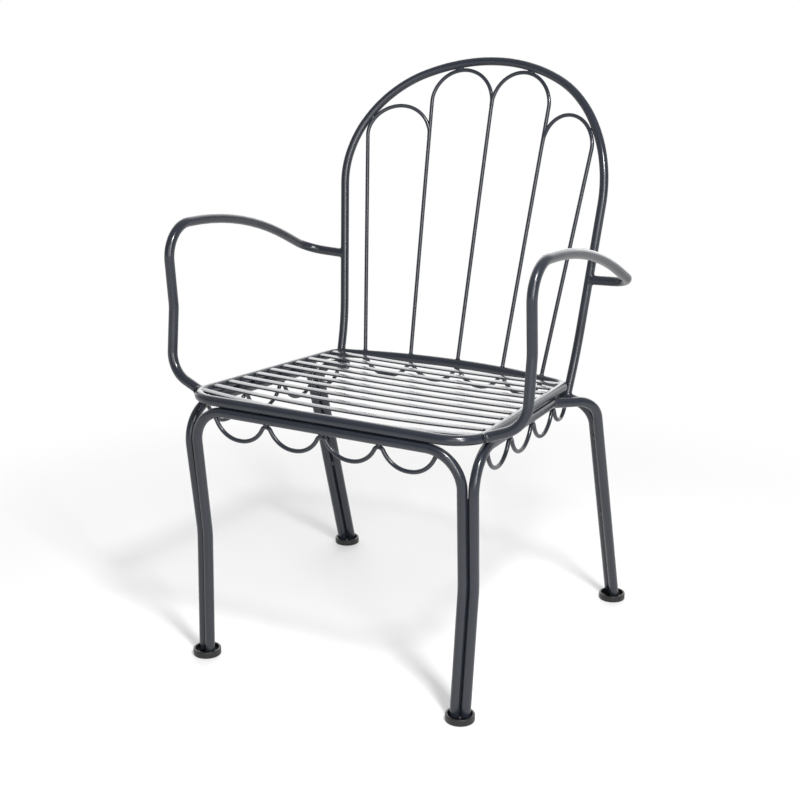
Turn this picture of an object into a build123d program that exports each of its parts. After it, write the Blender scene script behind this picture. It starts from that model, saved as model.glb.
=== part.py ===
from build123d import *
import math
import os

# Welded metal garden chair, in millimetres.
# +X is the right hand of someone facing the chair, +Y the back, +Z up, and the floor is Z = 0.
# Left and right pieces are named as seen from the front.

# Stock that the chair is bent and cut from: the seat ring, the legs and the arms are of the heavier tube
TUBE_D = 14.0
FRAME_TUBE_D = 15.4
TUBE_WALL = 1.2
ROD_D = 6.5
SLAT_W = 13.0
SLAT_T = 2.5
WELD_GAP = 0.25

# Seat ring: SEAT_H is the height of its axis at the middle of the seat
SEAT_H = 412.8
SEAT_SLOPE = 3.1
SEAT_DEPTH = 437.0
SEAT_FRONT_W = 482.0
SIDE_TAPER = 4.05
RING_FRONT_R = 50.0
RING_REAR_R = 30.0
REAR_RAIL_R = 540.0
REAR_RAIL_SWEEP = 18.0

# Slats, dished a little between the side rails, and the first few of them dip further
SLAT_COUNT = 11
SLAT_FIRST_SETBACK = 32.0
SLAT_LAST_SETBACK = 58.0
SLAT_RISE = 5.0
SLAT_SAG = 3.0
FRONT_SLAT_DIP = 8.0
DIPPED_SLATS = 4

# Twin-tube legs
FRONT_TWIN_TURN = 20.0
REAR_TWIN_TURN = -39.5
LEG_TOP_R = 55.0
FRONT_LEG_INSET = 9.1
FRONT_FOOT_INSET = 18.1
FRONT_FOOT_SETBACK = 7.4
KNEE_H = 200.8
KNEE_INSET = 13.4
KNEE_SETBACK = 20.6
KNEE_R = 120.0
REAR_LEG_OUT = 48.5
REAR_LEG_AHEAD = 5.0
REAR_LEG_RAKE = 17.25
REAR_LEG_SPLAY = 0.39
SIDE_KINK_AHEAD = 63.0
SIDE_KINK_R = 20.0
REAR_LEG_TOP_R = 42.0
REAR_RUN_DROP = 23.2
REAR_RUN_INSET = 18.0
REAR_RUN_SETBACK = 3.4
REAR_RUN_R = 40.0
TACK_D = 5.0
TACK_L = 9.0
TACK_OUT = 4.6
FRONT_TACK_HEIGHTS = (70.0, 165.0)
REAR_TACK_HEIGHTS = (175.0, 320.0)

# Round cup under each leg
CAP_H = 10.5
CAP_FLOOR = 3.5
CAP_WALL = 3.3
CAP_ROOM = 3.0
CAP_EDGE_R = 1.2

# Back: a sheet of space that leans, wraps round the sitter and curls back at the top, with the hoop on it
BACK_SET = 41.5
BACK_LEAN = 9.18
BACK_WRAP_R = 462.0
BACK_CURL_R = 6100.0
BACK_H = 483.5
BACK_HALF_W = 234.9
SHOULDER_R = 185.0
CROWN_R = 320.0
BACK_FOOT_INSET = 1.5
BACK_BEND_OUT = 4.3
BACK_BEND_S = 38.7
BACK_BEND_AHEAD = 3.3

# Rods and petals inside the back
CENTRE_ROD_S = 432.0
CENTRE_ROD_AHEAD = 2.7
INNER_ROD_X = 85.4
INNER_PETAL_R = 53.6
INNER_PETAL_TURN = 160.0
OUTER_ROD_X = 163.3
OUTER_PETAL_R = 49.9
OUTER_PETAL_TURN = 157.0
OUTER_PETAL_AHEAD = 5.5
PETAL_TIP_LAP = 3.4

# Arms: heights are above the seat ring's axis beside the arm's foot or the back hoop's joint
ARM_HALF_W = 298.9
ARM_SETBACK = 39.0
ARM_FOOT_RISE = 22.2
ARM_FOOT_BACK = 9.3
ARM_FOOT_R = 46.0
ARM_KNEE_RISE = 121.6
ARM_KNEE_BACK = 21.0
ARM_KNEE_R = 60.0
ARM_FRONT_RISE = 246.8
ARM_FRONT_BACK = 10.6
ARM_FRONT_R = 49.4
ARM_CREST_RISE = 241.4
ARM_CREST_BACK = 211.2
ARM_CREST_R = 660.0
ARM_JOINT_S = 155.2
ARM_REAR_AHEAD = 5.0
ARM_REAR_RISE = 3.9
ARM_REAR_R = 36.8

# Scalloped aprons: bent rod in festoons under the rails
SCALLOP_COUNT = 4
SCALLOP_PEAK_R = 8.0
FRONT_SCALLOP_SPAN = 378.0
FRONT_SCALLOP_DROP = 28.5
SIDE_SCALLOP_SETBACK = 50.0
SIDE_SCALLOP_PITCH = 95.5
SIDE_SCALLOP_DROP = 30.0
REAR_SCALLOP_DROP = 22.0

# Drawing of round stretches: the share of a run that each of its two arcs may take, and steps along an arc
RUN_SHARE = 0.48
SHOULDER_STEPS = 4
CROWN_STEPS = 2
PETAL_STEPS = 5

# Rounds in which the outer petal settles between its rod and the hoop
SETTLE_ROUNDS = 6

FRONT_Y = -SEAT_DEPTH / 2
REAR_Y = SEAT_DEPTH / 2
STACK = FRAME_TUBE_D + WELD_GAP
ROD_ON_TUBE = TUBE_D / 2 + ROD_D / 2 + WELD_GAP
ROD_ON_RAIL = FRAME_TUBE_D / 2 + ROD_D / 2 + WELD_GAP
ROD_BY_ROD = ROD_D + WELD_GAP


def sine(degrees):
    return math.sin(math.radians(degrees))


def cosine(degrees):
    return math.cos(math.radians(degrees))


def tangent(degrees):
    return math.tan(math.radians(degrees))


def seat_z(y):
    """Height of the seat ring's axis at a depth."""
    return SEAT_H - y * tangent(SEAT_SLOPE)


def side_x(y):
    """Half-width of the seat ring's axis at a depth, on its straight sides."""
    return SEAT_FRONT_W / 2 - (y - FRONT_Y) * tangent(SIDE_TAPER)


def on_seat(x, y, rise=0.0):
    return Vector(x, y, seat_z(y) + rise)


def on_back(x, s, ahead=0.0):
    """Point on or ahead of the back's sheet, s measured up its lean from the seat's level."""
    wrap = x * x / (2 * BACK_WRAP_R)
    curl = s * s / (2 * BACK_CURL_R)
    y = REAR_Y + BACK_SET + s * sine(BACK_LEAN) - wrap + curl - ahead
    return Vector(x, y, SEAT_H + s * cosine(BACK_LEAN))


def across(point):
    """The same point on the other side of the chair."""
    return Vector(-point.X, point.Y, point.Z)


def corner_turns(points):
    """Run before, run after and turn in degrees at each inner point."""
    runs = [after - before for before, after in zip(points, points[1:])]
    return [(a.length, b.length, a.get_angle(b)) for a, b in zip(runs, runs[1:])]


def smooth_path(points):
    """Route whose arcs are as large as its runs allow."""
    radii = [RUN_SHARE * min(a, b) / tangent(turn / 2) for a, b, turn in corner_turns(points)]
    return FilletPolyline(*points, radius=radii)


def arc_corners(centre, radius, start, end, count):
    """Corners of the polygon that wraps an arc, in equal steps from one angle to the other."""
    step = (end - start) / count
    reach = radius / cosine(step / 2)
    angles = [start + (i + 0.5) * step for i in range(count)]
    return [(centre[0] + reach * cosine(a), centre[1] + reach * sine(a)) for a in angles]


def bar(path, outside, bore=0.0):
    """Round bar or tube along a path."""
    section = Circle(outside / 2)
    if bore:
        section = section - Circle(bore / 2)
    start = Plane(origin=path @ 0, z_dir=path % 0)
    return sweep(start * section, path=path)


def tube(path, outside):
    return bar(path, outside, outside - 2 * TUBE_WALL)


def envelope(path, outside):
    """What a bar and the clearance round it fill."""
    return bar(path, outside + 2 * WELD_GAP)


def cut(shape, *tools):
    """Shape trimmed by the tools, without the crumbs."""
    for tool in tools:
        shape = max((shape - tool).solids(), key=lambda solid: solid.volume)
    return shape


def other_side(shape):
    return mirror(shape, about=Plane.YZ)


# Seat ring: one tube bent to a closed loop with a bowed rear rail
rear_flank_x = REAR_RAIL_R * sine(REAR_RAIL_SWEEP)
rear_flank_y = REAR_Y - REAR_RAIL_R * (1 - cosine(REAR_RAIL_SWEEP))
flank_slope = tangent(REAR_RAIL_SWEEP)
flank_at_side = rear_flank_y - flank_slope * (side_x(0) - rear_flank_x)
corner_y = flank_at_side / (1 - flank_slope * tangent(SIDE_TAPER))
corner_x = side_x(corner_y)
rail_point_x = REAR_RAIL_R * tangent(REAR_RAIL_SWEEP / 2)
right_ring = [
    on_seat(SEAT_FRONT_W / 2, FRONT_Y),
    on_seat(corner_x, corner_y),
    on_seat(rail_point_x, REAR_Y),
]
ring_points = right_ring + [across(point) for point in reversed(right_ring)]
right_radii = [RING_FRONT_R, RING_REAR_R, 2 * RUN_SHARE * REAR_RAIL_R]
ring_path = FilletPolyline(*ring_points, radius=right_radii + right_radii[::-1], close=True)
ring_envelope = envelope(ring_path, FRAME_TUBE_D)
nodes = {"seat_ring": tube(ring_path, FRAME_TUBE_D)}


def rear_rail_y(x):
    """Depth of the rear rail's axis at a place across the chair."""
    return REAR_Y - REAR_RAIL_R + math.sqrt(REAR_RAIL_R**2 - x**2)


# Seat slats: flat strips with a slight sag, coped to the side rails
slat_pitch = (SEAT_DEPTH - SLAT_FIRST_SETBACK - SLAT_LAST_SETBACK) / (SLAT_COUNT - 1)


def slat(number):
    y = FRONT_Y + SLAT_FIRST_SETBACK + number * slat_pitch
    sag = SLAT_SAG + FRONT_SLAT_DIP * max(0, 1 - number / DIPPED_SLATS) ** 2
    half = side_x(y)
    ends = seat_z(y) + SLAT_RISE
    upper = ThreePointArc((-half, ends), (0, ends - sag), (half, ends))
    band = make_face(offset(upper, amount=SLAT_T / 2, side=Side.BOTH))
    across_seat = Plane(origin=(0, y, 0), x_dir=(1, 0, 0), z_dir=(0, -1, 0))
    strip = extrude(across_seat * band, amount=SLAT_W / 2, both=True)
    return cut(strip, ring_envelope)


for number in range(SLAT_COUNT):
    nodes[f"seat_slat_{number + 1:02d}"] = slat(number)

# Legs: each is two tubes that touch side by side, one from each of the two hoops that meet at its corner
front_corner = Vector(SEAT_FRONT_W / 2, FRONT_Y)
front_foot = front_corner + Vector(-FRONT_FOOT_INSET, FRONT_FOOT_SETBACK)
front_knee = front_corner + Vector(-KNEE_INSET, KNEE_SETBACK, KNEE_H)
front_top = front_corner + Vector(-FRONT_LEG_INSET, 0, seat_z(FRONT_Y) - STACK)
rear_top = Vector(corner_x + REAR_LEG_OUT, corner_y - REAR_LEG_AHEAD, seat_z(corner_y))
rear_fall = Vector(tangent(REAR_LEG_SPLAY), tangent(REAR_LEG_RAKE), -1)


def twin_half(turn, along):
    """Half the level step between two tubes that touch, in a leg that runs along a direction."""
    step = Vector(cosine(turn), sine(turn))
    lean = step.dot(along.normalized())
    return step * (STACK / 2 / math.sqrt(1 - lean**2))


front_half = twin_half(FRONT_TWIN_TURN, front_knee - front_foot)
rear_half = twin_half(REAR_TWIN_TURN, rear_fall)


def rear_leg(height):
    """Middle of the rear leg at a height."""
    return rear_top + rear_fall * (rear_top.Z - height)


tube_foot_z = CAP_FLOOR + WELD_GAP
below_feet = Pos(0, 0, tube_foot_z - SEAT_H / 2) * Box(2 * SEAT_FRONT_W, 3 * SEAT_DEPTH, SEAT_H)

# Front leg hoop: both front legs and the rail under the ring's front rail
right_hoop = [
    front_foot - front_half,
    front_knee - front_half,
    Vector(front_top.X - front_half.X, FRONT_Y, front_top.Z),
]
front_hoop_points = right_hoop + [across(point) for point in reversed(right_hoop)]
front_hoop_path = FilletPolyline(*front_hoop_points, radius=[KNEE_R, LEG_TOP_R, LEG_TOP_R, KNEE_R])
front_hoop_envelope = envelope(front_hoop_path, FRAME_TUBE_D)
nodes["front_leg_hoop"] = cut(tube(front_hoop_path, FRAME_TUBE_D), below_feet)

# Side hoops: front leg, rail under the ring's side rail, and a kink outwards to the rear leg
kink_y = corner_y - SIDE_KINK_AHEAD
side_front_y = FRONT_Y + front_half.Y
side_points = [
    front_foot + front_half,
    front_knee + front_half,
    on_seat(side_x(side_front_y), side_front_y, -STACK),
    on_seat(side_x(kink_y), kink_y, -STACK),
    rear_leg(rear_top.Z - STACK) + rear_half,
    rear_leg(0) + rear_half,
]
side_path = FilletPolyline(*side_points, radius=[KNEE_R, LEG_TOP_R, SIDE_KINK_R, REAR_LEG_TOP_R])
side_envelope = envelope(side_path, FRAME_TUBE_D)
nodes["right_side_hoop"] = cut(tube(side_path, FRAME_TUBE_D), below_feet)

# Rear leg tubes: up beside the side hoop, then inwards under the ring's rear corner
run_start = rear_leg(rear_top.Z - REAR_RUN_DROP) - rear_half
run_end = Vector(corner_x - REAR_RUN_INSET, run_start.Y + REAR_RUN_SETBACK, run_start.Z)
rear_tube_path = FilletPolyline(rear_leg(0) - rear_half, run_start, run_end, radius=REAR_RUN_R)
rear_tube_envelope = envelope(rear_tube_path, FRAME_TUBE_D)
nodes["right_rear_leg_tube"] = cut(tube(rear_tube_path, FRAME_TUBE_D), below_feet)


def on_run(x):
    """Point on the inward run of the rear leg tube."""
    return run_start + (run_end - run_start) * ((x - run_start.X) / (run_end.X - run_start.X))


# Leg tacks: weld beads between the twin tubes, in the groove behind a front leg and in both of a rear leg
def tacks(middle_of_leg, half, heights, ways):
    beads = []
    for height in heights:
        low = middle_of_leg(height - TACK_L / 2)
        high = middle_of_leg(height + TACK_L / 2)
        past = high - low
        outwards = half.cross(past).normalized() * TACK_OUT
        routes = [Line(low - past + side, high + past + side) for side in (half, -half)]
        tubes = [envelope(route, FRAME_TUBE_D) for route in routes]
        for way in ways:
            route = Line(low + outwards * way, high + outwards * way)
            beads.append(cut(bar(route, TACK_D), *tubes))
    return Compound(children=beads)


def front_leg(height):
    """Middle of the front leg at a height below its knee."""
    return front_foot + (front_knee - front_foot) * (height / KNEE_H)


nodes["right_front_leg_tacks"] = tacks(front_leg, front_half, FRONT_TACK_HEIGHTS, [-1])
nodes["right_rear_leg_tacks"] = tacks(rear_leg, rear_half, REAR_TACK_HEIGHTS, [1, -1])


# Foot caps: a cup that both tubes of a leg stand in
def foot_cap(middle):
    bore = STACK + FRAME_TUBE_D + 2 * CAP_ROOM
    cup = Pos(0, 0, CAP_H / 2) * Cylinder(bore / 2 + CAP_WALL, CAP_H)
    cup = fillet(cup.edges().filter_by(GeomType.CIRCLE), CAP_EDGE_R)
    hollow_h = CAP_H - CAP_FLOOR
    cup = cup - Pos(0, 0, CAP_FLOOR + hollow_h / 2) * Cylinder(bore / 2, hollow_h)
    return Pos(middle.X, middle.Y, 0) * cup.solid()


cap_middle_z = (CAP_H + CAP_FLOOR) / 2
nodes["right_front_foot_cap"] = foot_cap(front_leg(cap_middle_z))
nodes["right_rear_foot_cap"] = foot_cap(rear_leg(cap_middle_z))

# Back hoop: basket-handle arch whose feet stand on the rear leg tubes
crown_centre = (0.0, BACK_H - CROWN_R)
shoulder_x = BACK_HALF_W - SHOULDER_R
blend = math.degrees(math.asin(shoulder_x / (CROWN_R - SHOULDER_R)))
shoulder_centre = (shoulder_x, crown_centre[1] + (CROWN_R - SHOULDER_R) * cosine(blend))
back_foot = on_run(corner_x - BACK_FOOT_INSET)
bend_x = back_foot.X + BACK_BEND_OUT
bend_reach = math.dist(shoulder_centre, (bend_x, BACK_BEND_S))
bend_bearing = math.degrees(math.atan2(BACK_BEND_S - shoulder_centre[1], bend_x - shoulder_centre[0]))
spring = bend_bearing + math.degrees(math.acos(SHOULDER_R / bend_reach))
shoulder = arc_corners(shoulder_centre, SHOULDER_R, spring, 90 - blend, SHOULDER_STEPS)
crown = arc_corners(crown_centre, CROWN_R, 90 - blend, 90, CROWN_STEPS)
right_back = [back_foot, on_back(bend_x, BACK_BEND_S, BACK_BEND_AHEAD)]
right_back += [on_back(x, s) for x, s in shoulder + crown]
back_points = right_back + [across(point) for point in reversed(right_back)]
back_path = smooth_path(back_points)
back_envelope = envelope(back_path, TUBE_D)
nodes["back_hoop"] = cut(tube(back_path, TUBE_D), rear_tube_envelope, other_side(rear_tube_envelope))


# Rods and petals: rods stand on the ring's rear rail, and four of them arch over to their neighbour
def rod_foot(x):
    return on_seat(x, rear_rail_y(x))


def petal(rod_x, middle, radius, turn, ahead=0.0):
    """Rod with a round hook at its top."""
    corners = arc_corners(middle, radius, 0, turn, PETAL_STEPS)
    tip = (middle[0] + radius * cosine(turn), middle[1] + radius * sine(turn))
    points = [rod_foot(rod_x)] + [on_back(x, s, ahead) for x, s in corners + [tip]]
    return smooth_path(points)


def under_arch(x, arch_centre, arch_radius, radius):
    """Height of a petal's middle where the petal just touches the hoop."""
    reach = arch_radius - ROD_ON_TUBE - radius
    return arch_centre[1] + math.sqrt(reach**2 - (x - arch_centre[0]) ** 2)


centre_foot = rod_foot(0)
centre_top = on_back(0, CENTRE_ROD_S, CENTRE_ROD_AHEAD)
nodes["back_centre_rod"] = cut(bar(Line(centre_foot, centre_top), ROD_D), ring_envelope)
past_top = centre_top + (centre_top - centre_foot).normalized() * (2 * ROD_D)
centre_envelope = envelope(Line(centre_foot, past_top), ROD_D)

# The inner petal's tip runs into the centre rod and is coped to it
inner_x = ROD_BY_ROD - PETAL_TIP_LAP - INNER_PETAL_R * cosine(INNER_PETAL_TURN)
inner_middle = (inner_x, under_arch(inner_x, crown_centre, CROWN_R, INNER_PETAL_R))
inner_path = petal(INNER_ROD_X, inner_middle, INNER_PETAL_R, INNER_PETAL_TURN)
inner_envelope = envelope(inner_path, ROD_D)
nodes["right_inner_petal"] = cut(bar(inner_path, ROD_D), ring_envelope, centre_envelope)

# The outer petal's tip is coped to the inner petal's rod, at the height that its place under the hoop gives
rod_lean = (inner_x + INNER_PETAL_R - INNER_ROD_X) / inner_middle[1]
outer_x = OUTER_ROD_X
for _ in range(SETTLE_ROUNDS):
    outer_s = under_arch(outer_x, shoulder_centre, SHOULDER_R, OUTER_PETAL_R)
    tip_s = outer_s + OUTER_PETAL_R * sine(OUTER_PETAL_TURN)
    tip_x = INNER_ROD_X + rod_lean * tip_s + ROD_BY_ROD - PETAL_TIP_LAP
    outer_x = tip_x - OUTER_PETAL_R * cosine(OUTER_PETAL_TURN)
outer_path = petal(OUTER_ROD_X, (outer_x, outer_s), OUTER_PETAL_R, OUTER_PETAL_TURN, OUTER_PETAL_AHEAD)
nodes["right_outer_petal"] = cut(bar(outer_path, ROD_D), ring_envelope, inner_envelope)

# Arms: from the ring just behind its front corner, up and over, to the side of the back hoop
arm_y = FRONT_Y + ARM_SETBACK
arm_z = seat_z(arm_y)
hoop_base = right_back[1]
hoop_shoulder = right_back[2]
joint_share = (SEAT_H + ARM_JOINT_S * cosine(BACK_LEAN) - hoop_base.Z) / (hoop_shoulder.Z - hoop_base.Z)
arm_joint = hoop_base + (hoop_shoulder - hoop_base) * joint_share
arm_points = [
    on_seat(side_x(arm_y), arm_y),
    Vector(ARM_HALF_W, arm_y + ARM_FOOT_BACK, arm_z + ARM_FOOT_RISE),
    Vector(ARM_HALF_W, arm_y + ARM_KNEE_BACK, arm_z + ARM_KNEE_RISE),
    Vector(ARM_HALF_W, arm_y + ARM_FRONT_BACK, arm_z + ARM_FRONT_RISE),
    Vector(ARM_HALF_W, arm_y + ARM_CREST_BACK, arm_z + ARM_CREST_RISE),
    Vector(ARM_HALF_W, arm_joint.Y - ARM_REAR_AHEAD, arm_joint.Z + ARM_REAR_RISE),
    arm_joint,
]
arm_radii = [ARM_FOOT_R, ARM_KNEE_R, ARM_FRONT_R, ARM_CREST_R, ARM_REAR_R]
arm_path = FilletPolyline(*arm_points, radius=arm_radii)
nodes["right_arm"] = cut(tube(arm_path, FRAME_TUBE_D), ring_envelope, back_envelope)


# Scalloped aprons: each festoon is one round bottom between two tight peaks that touch the rail
def scallop(peaks, drops):
    up = Vector(0, 0, 1)
    points = []
    radii = []
    for left, right, drop in zip(peaks, peaks[1:], drops):
        chord = right - left
        slope = 2 * math.degrees(math.atan(2 * drop / chord.length))
        bottom_r = chord.length / 2 / sine(slope) - SCALLOP_PEAK_R
        middle = (left + right) * 0.5 - up * drop
        along = chord.normalized() * (bottom_r * tangent(slope / 2))
        lift = up * (SCALLOP_PEAK_R * (1 / cosine(slope) - 1))
        points += [left + lift, middle - along, middle + along]
        radii += [SCALLOP_PEAK_R, 2 * RUN_SHARE * bottom_r, 2 * RUN_SHARE * bottom_r]
    points.append(peaks[-1] + lift)
    return bar(FilletPolyline(*points, radius=radii[1:]), ROD_D)


front_pitch = FRONT_SCALLOP_SPAN / SCALLOP_COUNT
front_xs = [number * front_pitch - FRONT_SCALLOP_SPAN / 2 for number in range(SCALLOP_COUNT + 1)]
front_peaks = [Vector(x, FRONT_Y, front_top.Z - ROD_ON_RAIL) for x in front_xs]
front_scallop = scallop(front_peaks, [FRONT_SCALLOP_DROP] * SCALLOP_COUNT)
nodes["front_scallop"] = cut(front_scallop, front_hoop_envelope)

rear_xs = [-OUTER_ROD_X, -INNER_ROD_X, 0, INNER_ROD_X, OUTER_ROD_X]
rear_peaks = [on_seat(x, rear_rail_y(x), -ROD_ON_RAIL) for x in rear_xs]
rear_scallop = scallop(rear_peaks, [REAR_SCALLOP_DROP] * (len(rear_xs) - 1))
nodes["rear_scallop"] = cut(rear_scallop, ring_envelope)

side_ys = [FRONT_Y + SIDE_SCALLOP_SETBACK + number * SIDE_SCALLOP_PITCH for number in range(SCALLOP_COUNT)]
side_peaks = [on_seat(side_x(y), y, -STACK - ROD_ON_RAIL) for y in side_ys]
last_peak = back_foot - Vector(0, 0, FRAME_TUBE_D / 2)
last_drop = SIDE_SCALLOP_DROP * (last_peak - side_peaks[-1]).length / SIDE_SCALLOP_PITCH
side_drops = [SIDE_SCALLOP_DROP] * (SCALLOP_COUNT - 1) + [last_drop]
side_scallop = scallop(side_peaks + [last_peak], side_drops)
nodes["right_side_scallop"] = cut(side_scallop, side_envelope, rear_tube_envelope)

# The left side mirrors the right
for name in [name for name in nodes if name.startswith("right_")]:
    nodes[name.replace("right_", "left_", 1)] = other_side(nodes[name])

# The origin is under the middle of the chair's box
whole = Compound(children=[Compound(shape.solids()) for shape in nodes.values()]).bounding_box()
to_middle = Pos(0, -whole.center().Y, 0)
print(f"moved {-whole.center().Y:.3f} in Y, box {whole.size.X:.1f} x {whole.size.Y:.1f} x {whole.size.Z:.1f}")

os.makedirs("parts", exist_ok=True)
for name, shape in nodes.items():
    solids = [to_middle * solid for solid in shape.solids()]
    export_step(solids[0] if len(solids) == 1 else Compound(solids), f"parts/{name}.step")
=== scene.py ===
import math

import bmesh
import bpy
from mathutils import Matrix, Vector


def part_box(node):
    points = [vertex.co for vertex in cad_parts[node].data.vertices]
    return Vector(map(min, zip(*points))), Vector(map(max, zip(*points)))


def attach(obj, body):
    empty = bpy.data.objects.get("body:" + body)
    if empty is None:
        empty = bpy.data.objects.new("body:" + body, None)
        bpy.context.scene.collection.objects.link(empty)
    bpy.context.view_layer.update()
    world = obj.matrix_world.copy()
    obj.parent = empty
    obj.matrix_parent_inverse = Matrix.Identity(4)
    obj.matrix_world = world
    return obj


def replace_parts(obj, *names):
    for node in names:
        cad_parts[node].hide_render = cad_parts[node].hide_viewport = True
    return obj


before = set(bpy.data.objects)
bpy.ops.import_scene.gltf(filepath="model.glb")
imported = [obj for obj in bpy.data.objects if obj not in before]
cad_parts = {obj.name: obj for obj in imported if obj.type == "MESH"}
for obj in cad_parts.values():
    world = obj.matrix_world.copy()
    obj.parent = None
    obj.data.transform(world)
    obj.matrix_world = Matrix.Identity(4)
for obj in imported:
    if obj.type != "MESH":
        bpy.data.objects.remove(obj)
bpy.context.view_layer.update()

# Seat ring
# One round steel tube bent to a closed loop, with tight corners and a rear rail that bows backwards.
# It slopes down to the back, and all the other pieces are welded to it before the frame is coated.
FRAME_R = 0.0077
SEAT_H = 0.4128
SEAT_SLOPE = math.tan(math.radians(3.1))
FRONT_Y = -0.2185
REAR_Y = 0.2185
FRONT_HALF_W = 0.241
SIDE_TAPER = math.tan(math.radians(4.05))
RING_FRONT_R = 0.050
RING_REAR_R = 0.030
REAR_RAIL_R = 0.540
REAR_RAIL_SWEEP = math.radians(18.0)
RUN_SHARE = 0.48
TUBE_SIDES = 32
BEND_STEP = math.radians(2.5)
LEAST_BEND_STEPS = 3
SHARP_ANGLE = math.radians(40)
COAT_DARK = (0.0130, 0.0155, 0.0220, 1)
COAT_PALE = (0.0200, 0.0235, 0.0325, 1)
COAT_TINT_SPAN = (0.32, 0.68)
COAT_ROUGHNESS = (0.20, 0.25)
COAT_CLOUD_SHARE = 0.35
SPECKLE_SCALE = 1400.0
CLOUD_SCALE = 22.0
PEEL_SCALE = 1600.0
PEEL_STRENGTH = 0.012
PEEL_DEPTH = 0.0002
NOISE_SPAN = (0.3, 0.7)
TO_FRAME = Vector((0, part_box("seat_ring")[0].y - (FRONT_Y - FRAME_R), 0))


def seat_z(y):
    return SEAT_H - y * SEAT_SLOPE


def side_x(y):
    return FRONT_HALF_W - (y - FRONT_Y) * SIDE_TAPER


def on_seat(x, y, rise=0.0):
    return Vector((x, y, seat_z(y) + rise))


def across(points):
    """The same route on the other side of the chair."""
    return [Vector((-p.x, p.y, p.z)) for p in points]


def step(tree, kind, settings=(), **links):
    """Adds a node with its settings, and feeds its inputs from sockets or values."""
    node = tree.nodes.new(kind)
    for name, value in dict(settings).items():
        setattr(node, name, value)
    for name, value in links.items():
        socket = node.inputs[name.replace("_", " ")]
        if isinstance(value, bpy.types.NodeSocket):
            tree.links.new(value, socket)
        else:
            socket.default_value = value
    return node


def attribute(tree, name, kind):
    """Node that reads a value kept on each point of the seed mesh."""
    node = tree.nodes.new("GeometryNodeInputNamedAttribute")
    node.data_type = kind
    node.inputs["Name"].default_value = name
    return node.outputs["Attribute"]


def new_tree(name, **sizes):
    """Empty geometry tree with a seed mesh and named sizes as its inputs."""
    tree = bpy.data.node_groups.new(name, "GeometryNodeTree")
    tree.interface.new_socket("Geometry", in_out="OUTPUT", socket_type="NodeSocketGeometry")
    tree.interface.new_socket("Seed", in_out="INPUT", socket_type="NodeSocketGeometry")
    for size, kind in sizes.items():
        tree.interface.new_socket(size.replace("_", " "), in_out="INPUT", socket_type="NodeSocket" + kind)
    start = tree.nodes.new("NodeGroupInput")
    return tree, start.outputs


def ended(tree, geometry, material):
    """Closes a tree with smooth faces, plain geometry and its finish."""
    smooth = step(tree, "GeometryNodeSetShadeSmooth", Geometry=geometry)
    real = step(tree, "GeometryNodeRealizeInstances", Geometry=smooth.outputs["Geometry"])
    coat = step(tree, "GeometryNodeSetMaterial", Geometry=real.outputs["Geometry"])
    coat.inputs["Material"].default_value = material
    end = tree.nodes.new("NodeGroupOutput")
    tree.links.new(coat.outputs["Geometry"], end.inputs["Geometry"])
    return tree


def grown(name, seed_mesh, tree, **sizes):
    """Object whose plain mesh a tree grows from a seed mesh."""
    seed = bpy.data.objects.new(name + "_seed", seed_mesh)
    bpy.context.scene.collection.objects.link(seed)
    maker = seed.modifiers.new("maker", "NODES")
    maker.node_group = tree
    for item in tree.interface.items_tree:
        key = item.name.replace(" ", "_")
        if item.in_out == "INPUT" and key in sizes:
            maker[item.identifier] = sizes[key]
    depsgraph = bpy.context.evaluated_depsgraph_get()
    mesh = bpy.data.meshes.new_from_object(seed.evaluated_get(depsgraph), depsgraph=depsgraph)
    seed.modifiers.remove(maker)
    bpy.data.objects.remove(seed)
    mesh.set_sharp_from_angle(angle=SHARP_ANGLE)
    piece = bpy.data.objects.new(name, mesh)
    bpy.context.scene.collection.objects.link(piece)
    return piece


def noise(tree, where, scale, detail=2.0):
    node = step(tree, "ShaderNodeTexNoise", Vector=where, Scale=scale, Detail=detail)
    return node.outputs["Fac"]


def mapped(tree, value, span, result, settings=()):
    """Maps a value from one range to another."""
    node = step(tree, "ShaderNodeMapRange", settings, Value=value, From_Min=span[0], From_Max=span[1],
                To_Min=result[0], To_Max=result[1])
    return node.outputs["Result"]


def powder_coat():
    """Dark grey semi-gloss powder coat with a fine orange peel and faint speckle."""
    coat = bpy.data.materials.new("grey_powder_coat")
    coat.use_nodes = True
    tree = coat.node_tree
    shader = tree.nodes["Principled BSDF"]
    where = tree.nodes.new("ShaderNodeTexCoord").outputs["Object"]
    speckle = noise(tree, where, SPECKLE_SCALE)
    cloud = noise(tree, where, CLOUD_SCALE, 3.0)
    peel = noise(tree, where, PEEL_SCALE, 1.0)
    tint = tree.nodes.new("ShaderNodeValToRGB")
    for stop, place, colour in zip(tint.color_ramp.elements, COAT_TINT_SPAN, (COAT_DARK, COAT_PALE)):
        stop.position = place
        stop.color = colour
    both = step(tree, "ShaderNodeMix", Factor=COAT_CLOUD_SHARE)
    tree.links.new(speckle, both.inputs["A"])
    tree.links.new(cloud, both.inputs["B"])
    tree.links.new(both.outputs["Result"], tint.inputs["Fac"])
    tree.links.new(tint.outputs["Color"], shader.inputs["Base Color"])
    tree.links.new(mapped(tree, cloud, NOISE_SPAN, COAT_ROUGHNESS), shader.inputs["Roughness"])
    bump = step(tree, "ShaderNodeBump", Strength=PEEL_STRENGTH, Distance=PEEL_DEPTH, Height=peel)
    tree.links.new(bump.outputs["Normal"], shader.inputs["Normal"])
    return coat


coat = powder_coat()


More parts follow.
